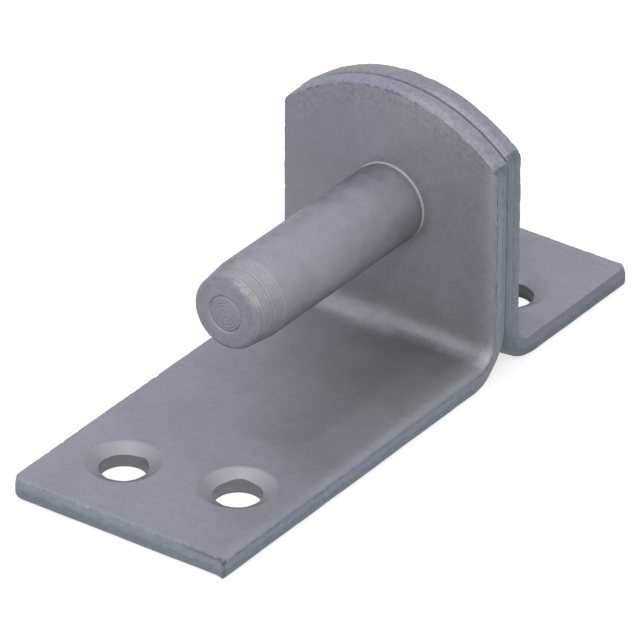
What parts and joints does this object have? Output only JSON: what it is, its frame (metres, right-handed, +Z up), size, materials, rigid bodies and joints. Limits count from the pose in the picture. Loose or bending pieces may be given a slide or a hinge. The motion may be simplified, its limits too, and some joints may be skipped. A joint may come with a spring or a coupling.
{
  "type": "gate hinge pin",
  "caption": "Turned hinge pin riveted through the upright leaves of two bent base plates standing back to back, with countersunk screw holes.",
  "frame": {"origin": "on the mounting face, in the middle of the joined footprint of the two base plates", "axes": "-Y along the pin towards its tip, X across the plates, +Z up from the mounting face"},
  "size_m": [0.0486, 0.1298, 0.0548],
  "materials": {
    "plate": "dull zinc coating over rolled steel",
    "pin": "dull zinc coating over turned steel"
  },
  "bodies": {
    "root": {"front_bracket": "plate", "rear_bracket": "plate", "pin": "pin"}
  },
  "joints": []
}
